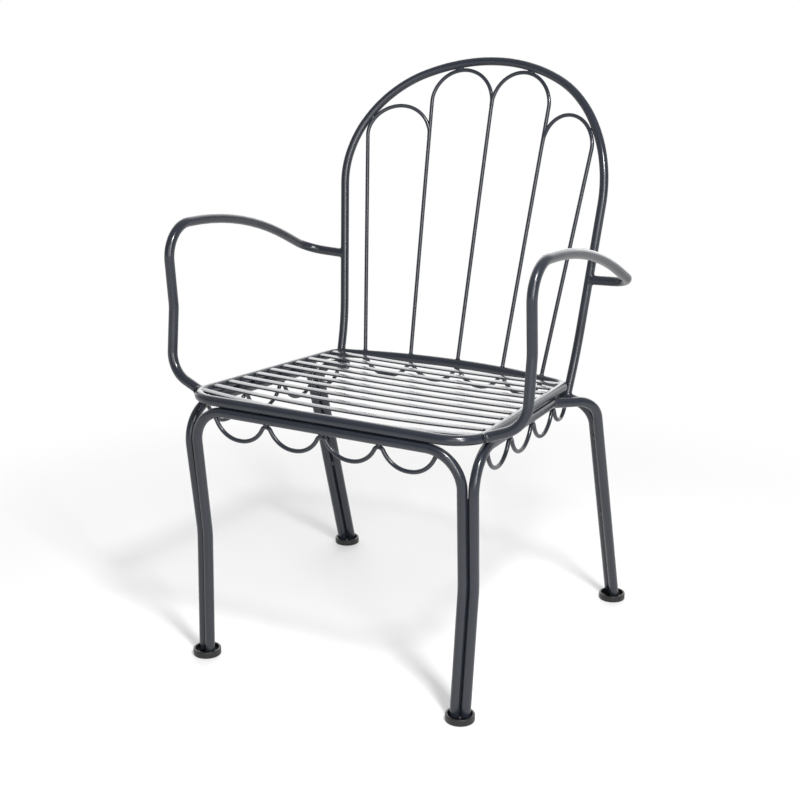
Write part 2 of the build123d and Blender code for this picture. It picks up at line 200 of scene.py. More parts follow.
def bar_tree():
    """Round bar along a route whose corners are bent to their own radii."""
    tree, given = new_tree("bent_bar", Radius="Float", Sides="Int")
    route = step(tree, "GeometryNodeMeshToCurve", Mesh=given["Seed"])
    bent = step(tree, "GeometryNodeFilletCurve", {"mode": "POLY"}, Curve=route.outputs["Curve"],
                Radius=attribute(tree, "bend", "FLOAT"), Count=attribute(tree, "steps", "INT"))
    ring = step(tree, "GeometryNodeCurvePrimitiveCircle", Radius=given["Radius"],
                Resolution=given["Sides"])
    bar = step(tree, "GeometryNodeCurveToMesh", Curve=bent.outputs["Curve"],
               Profile_Curve=ring.outputs["Curve"], Fill_Caps=True)
    return ended(tree, bar.outputs["Mesh"], coat)


bar_maker = bar_tree()


def turn_at(before, corner, after):
    return (corner - before).angle(after - corner)


def smooth_bends(points):
    """Bend radii as large as the runs allow, for a route drawn as a polygon round a curve."""
    bends = []
    for before, corner, after in zip(points, points[1:], points[2:]):
        run = min((corner - before).length, (after - corner).length)
        bends.append(RUN_SHARE * run / math.tan(turn_at(before, corner, after) / 2))
    return bends


def bent_bar(name, points, bends, node=None, radius=FRAME_R, sides=TUBE_SIDES, closed=False):
    """Coated bar along a route, standing for one CAD node where one is named."""
    count = len(points)
    edges = [(i, i + 1) for i in range(count - 1)]
    if closed:
        edges.append((count - 1, 0))
    else:
        bends = [0.0] + list(bends) + [0.0]
    mesh = bpy.data.meshes.new(name + "_route")
    mesh.from_pydata([p + TO_FRAME for p in points], edges, [])
    bend = mesh.attributes.new("bend", "FLOAT", "POINT")
    steps = mesh.attributes.new("steps", "INT", "POINT")
    for i in range(count):
        bend.data[i].value = bends[i]
        if bends[i] > 0:
            turn = turn_at(points[i - 1], points[i], points[(i + 1) % count])
            steps.data[i].value = max(LEAST_BEND_STEPS, round(turn / BEND_STEP))
    piece = grown(name, mesh, bar_maker, Radius=radius, Sides=sides)
    if node:
        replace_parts(piece, node)
    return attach(piece, "root")


flank_x = REAR_RAIL_R * math.sin(REAR_RAIL_SWEEP)
flank_y = REAR_Y - REAR_RAIL_R * (1 - math.cos(REAR_RAIL_SWEEP))
flank_slope = math.tan(REAR_RAIL_SWEEP)
corner_y = (flank_y - flank_slope * (side_x(0) - flank_x)) / (1 - flank_slope * SIDE_TAPER)
corner_x = side_x(corner_y)
right_ring = [
    on_seat(FRONT_HALF_W, FRONT_Y),
    on_seat(corner_x, corner_y),
    on_seat(REAR_RAIL_R * math.tan(REAR_RAIL_SWEEP / 2), REAR_Y),
]
ring_bends = [RING_FRONT_R, RING_REAR_R, 2 * RUN_SHARE * REAR_RAIL_R]
ring_route = right_ring + across(right_ring[::-1])
bent_bar("seat_ring_tube", ring_route, ring_bends + ring_bends[::-1], "seat_ring", closed=True)


def rear_rail_y(x):
    return REAR_Y - REAR_RAIL_R + math.sqrt(REAR_RAIL_R**2 - x**2)


# Seat slats
# Flat steel strips with softened edges, laid side by side from rail to rail and dished a little for comfort.
# Their ends are coped to the seat ring, welded from below and ground smooth on top.
SLAT_COUNT = 11
SLAT_W = 0.013
SLAT_T = 0.0025
SLAT_EDGE_R = 0.0007
SLAT_FIRST_SETBACK = 0.032
SLAT_LAST_SETBACK = 0.058
SLAT_RISE = 0.005
SLAT_SAG = 0.003
FRONT_SLAT_DIP = 0.008
DIPPED_SLATS = 4
SLAT_END_INSET = 0.001
SLAT_POINTS = 33
SLAT_EDGE_STEPS = 4


def ring_half_w(y):
    """Half-width of the ring's axis at a depth, its front corner included."""
    turn = math.pi / 2 + math.atan(SIDE_TAPER)
    bend_start = FRONT_Y + RING_FRONT_R * math.tan(turn / 2)
    ahead = max(0.0, bend_start - y)
    return side_x(y) - (RING_FRONT_R - math.sqrt(RING_FRONT_R**2 - ahead**2))


def sum_of(tree, operation, *terms):
    """Result of a sum of one or two terms, each a socket or a number."""
    node = step(tree, "ShaderNodeMath", {"operation": operation})
    for term, socket in zip(terms, node.inputs):
        if isinstance(term, bpy.types.NodeSocket):
            tree.links.new(term, socket)
        else:
            socket.default_value = term
    return node.outputs["Value"]


def slat_tree():
    """Strips across the seat, one for each point, as long and as dished as their point says."""
    tree, given = new_tree("seat_slats", Width="Float", Thickness="Float", Edge="Float")
    half = attribute(tree, "half_length", "FLOAT")
    sag = attribute(tree, "sag", "FLOAT")
    line = step(tree, "GeometryNodeCurvePrimitiveLine", Start=(-1, 0, 0), End=(1, 0, 0))
    parts = step(tree, "GeometryNodeResampleCurve", Curve=line.outputs["Curve"], Count=SLAT_POINTS)
    position = step(tree, "GeometryNodeInputPosition").outputs["Position"]
    place = step(tree, "ShaderNodeSeparateXYZ", Vector=position)
    square = sum_of(tree, "MULTIPLY", place.outputs["X"], place.outputs["X"])
    drop = step(tree, "ShaderNodeCombineXYZ", Z=sum_of(tree, "SUBTRACT", square, 1.0))
    dished = step(tree, "GeometryNodeSetPosition", Geometry=parts.outputs["Curve"],
                  Offset=drop.outputs["Vector"])
    reach = step(tree, "ShaderNodeCombineXYZ", X=half, Y=1.0, Z=sag)
    laid = step(tree, "GeometryNodeInstanceOnPoints", Points=given["Seed"],
                Instance=dished.outputs["Geometry"], Scale=reach.outputs["Vector"])
    real = step(tree, "GeometryNodeRealizeInstances", Geometry=laid.outputs["Instances"])
    level = step(tree, "GeometryNodeSetCurveNormal", {"mode": "Z_UP"}, Curve=real.outputs["Geometry"])
    section = step(tree, "GeometryNodeCurvePrimitiveQuadrilateral", Width=given["Width"],
                   Height=given["Thickness"])
    eased = step(tree, "GeometryNodeFilletCurve", {"mode": "POLY"}, Curve=section.outputs["Curve"],
                 Radius=given["Edge"], Count=SLAT_EDGE_STEPS)
    strips = step(tree, "GeometryNodeCurveToMesh", Curve=level.outputs["Curve"],
                  Profile_Curve=eased.outputs["Curve"], Fill_Caps=True)
    return ended(tree, strips.outputs["Mesh"], coat)


slat_pitch = (REAR_Y - FRONT_Y - SLAT_FIRST_SETBACK - SLAT_LAST_SETBACK) / (SLAT_COUNT - 1)
slat_ys = [FRONT_Y + SLAT_FIRST_SETBACK + i * slat_pitch for i in range(SLAT_COUNT)]
slat_seed = bpy.data.meshes.new("slat_places")
slat_seed.from_pydata([on_seat(0, y, SLAT_RISE) + TO_FRAME for y in slat_ys], [], [])
slat_half = slat_seed.attributes.new("half_length", "FLOAT", "POINT")
slat_sag = slat_seed.attributes.new("sag", "FLOAT", "POINT")
for i, y in enumerate(slat_ys):
    slat_half.data[i].value = ring_half_w(y) - SLAT_END_INSET
    slat_sag.data[i].value = SLAT_SAG + FRONT_SLAT_DIP * max(0.0, 1 - i / DIPPED_SLATS) ** 2
slats = grown("seat_slats", slat_seed, slat_tree(), Width=SLAT_W, Thickness=SLAT_T, Edge=SLAT_EDGE_R)
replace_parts(slats, *[f"seat_slat_{i + 1:02d}" for i in range(SLAT_COUNT)])
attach(slats, "root")

# Leg hoops
# Steel tubes bent to hoops: one makes both front legs, and one on each side a front and a rear leg.
# Their tops run under the seat ring's rails and are welded to it, so each leg is two tubes side by side.
WELD_GAP = 0.00025
STACK = 2 * FRAME_R + WELD_GAP
FRONT_TWIN_TURN = math.radians(20.0)
REAR_TWIN_TURN = math.radians(-39.5)
LEG_TOP_R = 0.055
KNEE_R = 0.120
KNEE_H = 0.2008
SIDE_KINK_AHEAD = 0.063
SIDE_KINK_R = 0.020
REAR_LEG_TOP_R = 0.042
REAR_LEG_RAKE = math.tan(math.radians(17.25))
REAR_LEG_SPLAY = math.tan(math.radians(0.39))
TUBE_FOOT_Z = 0.0061
FRONT_FOOT_STEP = (-0.0181, 0.0074)
FRONT_KNEE_STEP = (-0.0134, 0.0206)
FRONT_TOP_STEP = -0.0091
REAR_TOP_STEP = (0.0485, -0.005)

front_corner = Vector((FRONT_HALF_W, FRONT_Y, 0))
front_foot = front_corner + Vector((*FRONT_FOOT_STEP, 0))
front_knee = front_corner + Vector((*FRONT_KNEE_STEP, KNEE_H))
front_top = front_corner + Vector((FRONT_TOP_STEP, 0, seat_z(FRONT_Y) - STACK))
rear_top = Vector((corner_x + REAR_TOP_STEP[0], corner_y + REAR_TOP_STEP[1], seat_z(corner_y)))
rear_fall = Vector((REAR_LEG_SPLAY, REAR_LEG_RAKE, -1))


def twin_half(turn, along):
    """Half the level step between the two tubes of a leg that runs along a direction."""
    level = Vector((math.cos(turn), math.sin(turn), 0))
    return level * (STACK / 2 / math.sqrt(1 - level.dot(along.normalized()) ** 2))


front_half = twin_half(FRONT_TWIN_TURN, front_knee - front_foot)
rear_half = twin_half(REAR_TWIN_TURN, rear_fall)


def front_leg(height):
    """Middle of the front leg at a height below its knee."""
    return front_foot.lerp(front_knee, height / KNEE_H)


def rear_leg(height):
    """Middle of the rear leg at a height."""
    return rear_top + rear_fall * (rear_top.z - height)


right_front = [
    front_leg(TUBE_FOOT_Z) - front_half,
    front_knee - front_half,
    Vector((front_top.x - front_half.x, FRONT_Y, front_top.z)),
]
front_hoop = right_front + across(right_front[::-1])
bent_bar("front_leg_tube", front_hoop, [KNEE_R, LEG_TOP_R, LEG_TOP_R, KNEE_R], "front_leg_hoop")

kink_y = corner_y - SIDE_KINK_AHEAD
side_front_y = FRONT_Y + front_half.y
right_side = [
    front_leg(TUBE_FOOT_Z) + front_half,
    front_knee + front_half,
    on_seat(side_x(side_front_y), side_front_y, -STACK),
    on_seat(side_x(kink_y), kink_y, -STACK),
    rear_leg(rear_top.z - STACK) + rear_half,
    rear_leg(TUBE_FOOT_Z) + rear_half,
]


def bar_pair(name, points, bends, node=None, **form):
    """The same bar on the right and on the left of the chair."""
    for side, route in (("right", points), ("left", across(points))):
        bent_bar(f"{side}_{name}", route, bends, node and f"{side}_{node}", **form)


bar_pair("side_tube", right_side, [KNEE_R, LEG_TOP_R, SIDE_KINK_R, REAR_LEG_TOP_R], "side_hoop")

# Rear leg tubes
# The second tube of each rear leg, which rises beside the side hoop and bends inwards under the ring.
# Its inner end is cut square, and the back hoop stands on its inward run.
REAR_RUN_DROP = 0.0232
REAR_RUN_INSET = 0.018
REAR_RUN_SETBACK = 0.0034
REAR_RUN_R = 0.040

run_start = rear_leg(rear_top.z - REAR_RUN_DROP) - rear_half
run_end = Vector((corner_x - REAR_RUN_INSET, run_start.y + REAR_RUN_SETBACK, run_start.z))
right_rear = [rear_leg(TUBE_FOOT_Z) - rear_half, run_start, run_end]
bar_pair("rear_tube", right_rear, [REAR_RUN_R], "rear_leg_tube")

# Leg seams
# The two tubes of a leg lie against each other, and the coat bridges the crack between them from end to end.
# Each seam is a thin line of coat, deep in the groove, up to where the tubes part.
SEAM_R = 0.0009
SEAM_SIDES = 8
FRONT_SEAM_TOP = 0.68
REAR_SEAM_TOP_Z = 0.350

parting = (right_front[2] + right_side[2]) / 2
front_seam = [front_leg(TUBE_FOOT_Z), front_knee, front_knee.lerp(parting, FRONT_SEAM_TOP)]
rear_seam = [rear_leg(TUBE_FOOT_Z), rear_leg(REAR_SEAM_TOP_Z)]
for place, seam, bends in (("front", front_seam, [KNEE_R]), ("rear", rear_seam, [])):
    bar_pair(f"{place}_seam", seam, bends, radius=SEAM_R, sides=SEAM_SIDES)

# Foot caps
# Round black plastic cups, one under each leg, that both tube ends are pressed into.
# They are moulded with a rounded lip and a fine matt grain.
CAP_H = 0.0105
CAP_FLOOR = 0.0035
CAP_PLAY = 0.003
CAP_WALL = 0.0033
CAP_BORE_R = (STACK + 2 * FRAME_R) / 2 + CAP_PLAY
CAP_OUT_R = CAP_BORE_R + CAP_WALL
CAP_EDGE_R = 0.0012
CAP_LIP_R = 0.0007
CAP_ROOT = 0.0006
CAP_SIDES = 72
CAP_BLACK = (0.006, 0.006, 0.006, 1)
CAP_SCUFFED = (0.028, 0.028, 0.027, 1)
CAP_ROUGHNESS = (0.40, 0.52)
SCUFF_H = 0.004
SCUFF_SCALE = 260.0
GRAIN_SCALE = 1800.0
GRAIN_STRENGTH = 0.15
GRAIN_DEPTH = 0.0002


def cap_plastic():
    """Black moulded plastic with a fine grain, scuffed a little paler near the floor."""
    plastic = bpy.data.materials.new("black_cap_plastic")
    plastic.use_nodes = True
    tree = plastic.node_tree
    shader = tree.nodes["Principled BSDF"]
    where = tree.nodes.new("ShaderNodeTexCoord").outputs["Object"]
    height = step(tree, "ShaderNodeSeparateXYZ", Vector=where).outputs["Z"]
    low = mapped(tree, height, (0.0, SCUFF_H), (1.0, 0.0))
    scuff = sum_of(tree, "MULTIPLY", low, noise(tree, where, SCUFF_SCALE, 4.0))
    tint = tree.nodes.new("ShaderNodeValToRGB")
    tint.color_ramp.elements[0].color = CAP_BLACK
    tint.color_ramp.elements[1].color = CAP_SCUFFED
    tree.links.new(scuff, tint.inputs["Fac"])
    tree.links.new(tint.outputs["Color"], shader.inputs["Base Color"])
    grain = noise(tree, where, GRAIN_SCALE)
    tree.links.new(mapped(tree, grain, NOISE_SPAN, CAP_ROUGHNESS), shader.inputs["Roughness"])
    bump = step(tree, "ShaderNodeBump", Strength=GRAIN_STRENGTH, Distance=GRAIN_DEPTH, Height=grain)
    tree.links.new(bump.outputs["Normal"], shader.inputs["Normal"])
    return plastic


plastic = cap_plastic()


def quarter_round(r, z, radius, start, steps):
    """Points of a quarter circle in the cup's half section, from a bearing in degrees."""
    angles = [math.radians(start + 90 * i / steps) for i in range(steps + 1)]
    return [(r + radius * math.cos(a), z + radius * math.sin(a)) for a in angles]


def cap_profile():
    """Half section of the cup from the middle of its underside to the middle of its floor."""
    points = [(0.0, 0.0)]
    points += quarter_round(CAP_OUT_R - CAP_EDGE_R, CAP_EDGE_R, CAP_EDGE_R, -90, 6)
    points += quarter_round(CAP_OUT_R - CAP_EDGE_R, CAP_H - CAP_EDGE_R, CAP_EDGE_R, 0, 6)
    points += quarter_round(CAP_BORE_R + CAP_LIP_R, CAP_H - CAP_LIP_R, CAP_LIP_R, 90, 4)
    points += [(CAP_BORE_R, CAP_FLOOR + CAP_ROOT), (CAP_BORE_R - CAP_ROOT, CAP_FLOOR), (0.0, CAP_FLOOR)]
    return points


def closed_piece(name, shape, material):
    """Object with the faces of a closed shape, turned outwards and shaded smooth."""
    bmesh.ops.recalc_face_normals(shape, faces=shape.faces)
    mesh = bpy.data.meshes.new(name)
    shape.to_mesh(mesh)
    shape.free()
    mesh.shade_smooth()
    mesh.materials.append(material)
    piece = bpy.data.objects.new(name, mesh)
    bpy.context.scene.collection.objects.link(piece)
    return piece


def foot_cap(name, middle, node):
    """Cup turned from its half section, round the middle of one leg."""
    shape = bmesh.new()
    angles = [2 * math.pi * i / CAP_SIDES for i in range(CAP_SIDES)]
    rings = []
    for r, z in cap_profile():
        spots = [(r * math.cos(a), r * math.sin(a)) for a in angles] if r else [(0, 0)]
        rings.append([shape.verts.new((middle.x + x, middle.y + y, z)) for x, y in spots])
    for low, high in zip(rings, rings[1:]):
        for i in range(CAP_SIDES):
            j = (i + 1) % CAP_SIDES
            loop = [low[i % len(low)], low[j % len(low)], high[j % len(high)], high[i % len(high)]]
            shape.faces.new(list(dict.fromkeys(loop)))
    piece = closed_piece(name, shape, plastic)
    piece.data.set_sharp_from_angle(angle=SHARP_ANGLE)
    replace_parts(piece, node)
    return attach(piece, "root")


cap_level = (CAP_H + CAP_FLOOR) / 2
for place, leg in (("front", front_leg), ("rear", rear_leg)):
    middle = leg(cap_level) + TO_FRAME
    foot_cap(f"right_{place}_cap", middle, f"right_{place}_foot_cap")
    foot_cap(f"left_{place}_cap", Vector((-middle.x, middle.y, middle.z)), f"left_{place}_foot_cap")

# Back hoop
# One steel tube bent to a tall arch that leans, wraps round the sitter and curls back a little at the top.
# Its feet stand on the rear leg tubes beside the ring's rear corners and are welded all round.
TUBE_R = 0.007
BACK_SET = 0.0415
BACK_LEAN = math.radians(9.18)
BACK_WRAP_R = 0.462
BACK_CURL_R = 6.1
BACK_H = 0.4835
BACK_HALF_W = 0.2349
SHOULDER_R = 0.185
CROWN_R = 0.320
BACK_BEND = (0.0043, 0.0387, 0.0033)
BACK_FOOT_INSET = 0.0015


def on_back(x, s, ahead=0.0):
    """Point on or ahead of the back's curved sheet, s measured up its lean from the seat's level."""
    y = REAR_Y + BACK_SET + s * math.sin(BACK_LEAN) - x * x / (2 * BACK_WRAP_R) + s * s / (2 * BACK_CURL_R)
    return Vector((x, y - ahead, SEAT_H + s * math.cos(BACK_LEAN)))


def arc_corners(centre, radius, start, end, count):
    """Corners of the polygon that wraps an arc."""
    sweep = (end - start) / count
    reach = radius / math.cos(sweep / 2)
    angles = [start + (i + 0.5) * sweep for i in range(count)]
    return [(centre[0] + reach * math.cos(a), centre[1] + reach * math.sin(a)) for a in angles]


crown_centre = (0.0, BACK_H - CROWN_R)
shoulder_x = BACK_HALF_W - SHOULDER_R
blend = math.asin(shoulder_x / (CROWN_R - SHOULDER_R))
shoulder_centre = (shoulder_x, crown_centre[1] + (CROWN_R - SHOULDER_R) * math.cos(blend))
foot_share = (corner_x - BACK_FOOT_INSET - run_start.x) / (run_end.x - run_start.x)
back_foot = run_start.lerp(run_end, foot_share)
bend_at = (back_foot.x + BACK_BEND[0], BACK_BEND[1])
bearing = math.atan2(bend_at[1] - shoulder_centre[1], bend_at[0] - shoulder_centre[0])
spring = bearing + math.acos(SHOULDER_R / math.dist(shoulder_centre, bend_at))
up = math.pi / 2
shoulder = arc_corners(shoulder_centre, SHOULDER_R, spring, up - blend, 4)
crown = arc_corners(crown_centre, CROWN_R, up - blend, up, 2)
right_back = [back_foot, on_back(*bend_at, BACK_BEND[2])]
right_back += [on_back(x, s) for x, s in shoulder + crown]
back_route = right_back + across(right_back[::-1])
bent_bar("back_hoop_tube", back_route, smooth_bends(back_route), "back_hoop", TUBE_R)

COLLAR_STEPS = 64
COLLAR_SINK = 0.0008
COLLAR_HOLLOW = 0.3
COLLAR_FACE = (0, 0.17, 0.33, 0.5, 0.67, 0.83, 1)
RIPPLE = 0.08
RIPPLE_WAVES = 11
WANDER = 0.10
WANDER_WAVES = 3
WANDER_BY_HEIGHT = 900
TUBE_WELD_TOE = 0.0030


def weld_collar(shape, bar, bar_r, rail, rail_r, toe):
    """Adds the weld round a bar's end on a rail: a closed ring with a hollow face and a slight ripple."""
    joint = bar[0]
    away = (bar[1] - joint).normalized()
    along = (rail[1] - rail[0]).normalized()
    first = away.orthogonal().normalized()
    second = away.cross(first)

    def off_rail(vector):
        return vector - along * vector.dot(along)

    def on_rail(point, depth=0.0):
        out = off_rail(point - rail[0])
        return point - out + out.normalized() * (rail_r - depth)

    run = off_rail(away)
    loops = []
    for i in range(COLLAR_STEPS):
        angle = 2 * math.pi * i / COLLAR_STEPS
        out = first * math.cos(angle) + second * math.sin(angle)
        ripple = RIPPLE * math.sin(RIPPLE_WAVES * angle)
        wander = WANDER * math.sin(WANDER_WAVES * angle + joint.z * WANDER_BY_HEIGHT)
        reach = toe * (1 + ripple + wander)
        side = off_rail(joint + out * bar_r - rail[0])
        lead = side.dot(run)
        spread = lead**2 - run.length_squared * (side.length_squared - rail_r**2)
        rise = (math.sqrt(max(0.0, spread)) - lead) / run.length_squared
        root = joint + out * bar_r + away * rise
        high = root + away * reach
        low = on_rail(root + out * reach)
        hollow = root.lerp((high + low) / 2, COLLAR_HOLLOW)
        face = [high.lerp(hollow, t).lerp(hollow.lerp(low, t), t) for t in COLLAR_FACE]
        buried = [on_rail(low, COLLAR_SINK), root - (out + away) * COLLAR_SINK, high - out * COLLAR_SINK]
        loops.append([shape.verts.new(p + TO_FRAME) for p in face + buried])
    for here, there in zip(loops, loops[1:] + loops[:1]):
        for j in range(len(here)):
            shape.faces.new([here[j - 1], here[j], there[j], there[j - 1]])


def weld_piece(name, joints):
    """Coated welds round the ends of some bars, as one piece."""
    shape = bmesh.new()
    for bar, bar_r, rail, rail_r, toe in joints:
        for route, rest in ((bar, rail), (across(bar), across(rail))):
            weld_collar(shape, route, bar_r, rest, rail_r, toe)
    piece = closed_piece(name, shape, coat)
    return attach(piece, "root")


weld_piece("hoop_foot_welds", [(right_back[:2], TUBE_R, [run_start, run_end], FRAME_R, TUBE_WELD_TOE)])

# Back rods and petals
# Round steel rods that stand on the ring's rear rail: a straight one in the middle and two on each side.
# The side rods hook over at the top like petals, and each tip is welded to the next rod.
ROD_R = 0.00325
ROD_SIDES = 20
ROD_BY_ROD = 2 * ROD_R + WELD_GAP
ROD_ON_TUBE = TUBE_R + ROD_R + WELD_GAP
CENTRE_ROD_S = 0.432
CENTRE_ROD_AHEAD = 0.0027
PETAL_TIP_LAP = 0.0034
PETAL_CORNERS = 8
PETAL_SINK = 0.0003
PETAL_TAIL = 0.012
INNER_ROD_X = 0.0854
INNER_PETAL_R = 0.0536
INNER_TURN = math.radians(160)
OUTER_ROD_X = 0.1633
OUTER_PETAL_R = 0.0499
OUTER_TURN = math.radians(157)
OUTER_PETAL_AHEAD = 0.0055
PETAL_FIT_ROUNDS = 6


def rod_foot(x):
    return on_seat(x, rear_rail_y(x))


def on_rod(rod, z):
    """Point on a rod's straight run at a height, moved a little towards the petal that ends there."""
    foot, head = rod[:2]
    return foot.lerp(head, (z - foot.z) / (head.z - foot.z)) + Vector((PETAL_SINK, 0, 0))


def petal(rod_x, middle, radius, turn, rod, lean=0.0, ahead=0.0):
    """Route of a rod with a round hook at its top, whose tip bends down into the rod beside it."""
    corners = arc_corners(middle, radius, 0.0, turn, PETAL_CORNERS)
    over, fall = math.sin(turn), math.cos(turn)
    run = (ROD_BY_ROD - PETAL_TIP_LAP) / (over + lean * fall)
    meet_s = middle[1] + radius * over + run * fall
    meet = on_rod(rod, on_back(0, meet_s).z)
    aside = meet.y - on_back(meet.x, meet_s, ahead).y
    hook = [on_back(x, s, ahead) for x, s in corners]
    for i, corner in enumerate(hook):
        corner.y += aside * (i / len(hook)) ** 2
    return [rod_foot(rod_x)] + hook + [meet, on_rod(rod, meet.z - PETAL_TAIL)]


def under_arch(x, centre, arch_r, radius):
    """Height of a petal's middle where the petal touches the hoop."""
    return centre[1] + math.sqrt((arch_r - ROD_ON_TUBE - radius) ** 2 - (x - centre[0]) ** 2)


centre_rod = [rod_foot(0), on_back(0, CENTRE_ROD_S, CENTRE_ROD_AHEAD)]
bent_bar("centre_rod", centre_rod, [], "back_centre_rod", ROD_R, ROD_SIDES)

inner_x = ROD_BY_ROD - PETAL_TIP_LAP - INNER_PETAL_R * math.cos(INNER_TURN)
inner_middle = (inner_x, under_arch(inner_x, crown_centre, CROWN_R, INNER_PETAL_R))
inner_petal = petal(INNER_ROD_X, inner_middle, INNER_PETAL_R, INNER_TURN, centre_rod)
rod_lean = (inner_x + INNER_PETAL_R - INNER_ROD_X) / inner_middle[1]
outer_x = OUTER_ROD_X
for _ in range(PETAL_FIT_ROUNDS):
    outer_s = under_arch(outer_x, shoulder_centre, SHOULDER_R, OUTER_PETAL_R)
    tip_s = outer_s + OUTER_PETAL_R * math.sin(OUTER_TURN)
    tip_x = INNER_ROD_X + rod_lean * tip_s + ROD_BY_ROD - PETAL_TIP_LAP
    outer_x = tip_x - OUTER_PETAL_R * math.cos(OUTER_TURN)
outer_middle = (outer_x, outer_s)
outer_petal = petal(OUTER_ROD_X, outer_middle, OUTER_PETAL_R, OUTER_TURN, inner_petal, rod_lean,
                    OUTER_PETAL_AHEAD)
for name, route in (("inner_petal", inner_petal), ("outer_petal", outer_petal)):
    bar_pair(f"{name}_rod", route, smooth_bends(route), name, radius=ROD_R, sides=ROD_SIDES)

ROD_WELD_TOE = 0.0018


def rail_at(x):
    """Two points on the line that the rear rail follows at a place across the chair."""
    slope = -x / math.sqrt(REAR_RAIL_R**2 - x**2)
    return [rod_foot(x), rod_foot(x) + Vector((1, slope, -slope * SEAT_SLOPE))]


rods = (centre_rod, inner_petal, outer_petal)
weld_piece("rod_welds", [(rod, ROD_R, rail_at(rod[0].x), FRAME_R, ROD_WELD_TOE) for rod in rods])

# Arms
# Steel tubes bent to open loops, from the ring just behind its front corner, up and over to the back hoop.
# Each end is coped to the tube that it meets, welded all round and dressed to a smooth fillet.
ARM_HALF_W = 0.2989
ARM_BENDS = [0.046, 0.060, 0.0494, 0.660, 0.0368]
ARM_JOINT_S = 0.1552
ARM_SETBACK = 0.039
ARM_STEPS = [(0.0093, 0.0222), (0.0210, 0.1216), (0.0106, 0.2468), (0.2112, 0.2414)]
ARM_REAR_STEP = (-0.0050, 0.0039)

arm_y = FRONT_Y + ARM_SETBACK
arm_z = seat_z(arm_y)
hoop_base, hoop_shoulder = right_back[1], right_back[2]
joint_z = SEAT_H + ARM_JOINT_S * math.cos(BACK_LEAN)
arm_joint = hoop_base.lerp(hoop_shoulder, (joint_z - hoop_base.z) / (hoop_shoulder.z - hoop_base.z))
arm_rear = Vector((ARM_HALF_W, arm_joint.y + ARM_REAR_STEP[0], arm_joint.z + ARM_REAR_STEP[1]))
right_arm = [on_seat(side_x(arm_y), arm_y)]
right_arm += [Vector((ARM_HALF_W, arm_y + back, arm_z + rise)) for back, rise in ARM_STEPS]
right_arm += [arm_rear, arm_joint]
bar_pair("arm_tube", right_arm, ARM_BENDS, "arm")
side_rail = [on_seat(side_x(y), y) for y in (0.0, 1.0)]
weld_piece("arm_welds", [
    (right_arm[:2], FRAME_R, side_rail, FRAME_R, TUBE_WELD_TOE),
    (right_arm[:-3:-1], FRAME_R, [hoop_base, hoop_shoulder], TUBE_R, TUBE_WELD_TOE),
])

# Scalloped aprons
# Thin steel rod bent to a row of festoons under each side of the seat.
# Each peak touches the rail above it and is held there by a small weld.
SCALLOP_COUNT = 4
PEAK_R = 0.008
FRONT_SPAN = 0.378
FRONT_DROP = 0.0285
REAR_DROP = 0.022
SIDE_SETBACK = 0.050
SIDE_PITCH = 0.0955
SIDE_DROP = 0.030
ROD_ON_RAIL = FRAME_R + ROD_R + WELD_GAP


def festoons(peaks, drops):
    """Route and bends of a rod that hangs in round festoons between tight peaks."""
    route, bends = [], []
    for left, right, drop in zip(peaks, peaks[1:], drops):
        chord = right - left
        slope = 2 * math.atan(2 * drop / chord.length)
        bottom_r = chord.length / 2 / math.sin(slope) - PEAK_R
        middle = (left + right) / 2 - Vector((0, 0, drop))
        along = chord.normalized() * (bottom_r * math.tan(slope / 2))
        lift = Vector((0, 0, PEAK_R * (1 / math.cos(slope) - 1)))
        route += [left + lift, middle - along, middle + along]
        bends += [PEAK_R, 2 * RUN_SHARE * bottom_r, 2 * RUN_SHARE * bottom_r]
    return route + [peaks[-1] + lift], bends[1:]


front_xs = [FRONT_SPAN * (i / SCALLOP_COUNT - 0.5) for i in range(SCALLOP_COUNT + 1)]
front_peaks = [Vector((x, FRONT_Y, front_top.z - ROD_ON_RAIL)) for x in front_xs]
rear_xs = [-OUTER_ROD_X, -INNER_ROD_X, 0.0, INNER_ROD_X, OUTER_ROD_X]
rear_peaks = [on_seat(x, rear_rail_y(x), -ROD_ON_RAIL) for x in rear_xs]
side_ys = [FRONT_Y + SIDE_SETBACK + i * SIDE_PITCH for i in range(SCALLOP_COUNT)]
side_peaks = [on_seat(side_x(y), y, -STACK - ROD_ON_RAIL) for y in side_ys]
last_peak = back_foot - Vector((0, 0, FRAME_R))
last_drop = SIDE_DROP * (last_peak - side_peaks[-1]).length / SIDE_PITCH
side_peaks.append(last_peak)
for name, peaks, drops in (
    ("front", front_peaks, [FRONT_DROP] * SCALLOP_COUNT),
    ("rear", rear_peaks, [REAR_DROP] * SCALLOP_COUNT),
    ("right_side", side_peaks, [SIDE_DROP] * (SCALLOP_COUNT - 1) + [last_drop]),
    ("left_side", across(side_peaks), [SIDE_DROP] * (SCALLOP_COUNT - 1) + [last_drop]),
):
    route, bends = festoons(peaks, drops)
    bent_bar(f"{name}_festoon_rod", route, bends, f"{name}_scallop", ROD_R, ROD_SIDES)

# Weld beads
# Short runs of weld metal laid where two pieces touch side by side: in the grooves of the twin legs,
# under the seat's rails, at the festoons' peaks, where the petals touch the hoop and under the slats' ends.
BEAD_SEED = 11
BEAD_LUMPS = 0.0005
TACK_OUT = 0.0046
TACK_SIZE = (0.0050, 0.0027, 0.0026)
FRONT_TACK_HEIGHTS = (0.070, 0.165)
REAR_TACK_HEIGHTS = (0.175, 0.320)
BEAD_LEAST = (0.9, 0.9, 0.9)
BEAD_MOST = (1.12, 1.08, 1.08)
LUMP_SCALE = 420.0


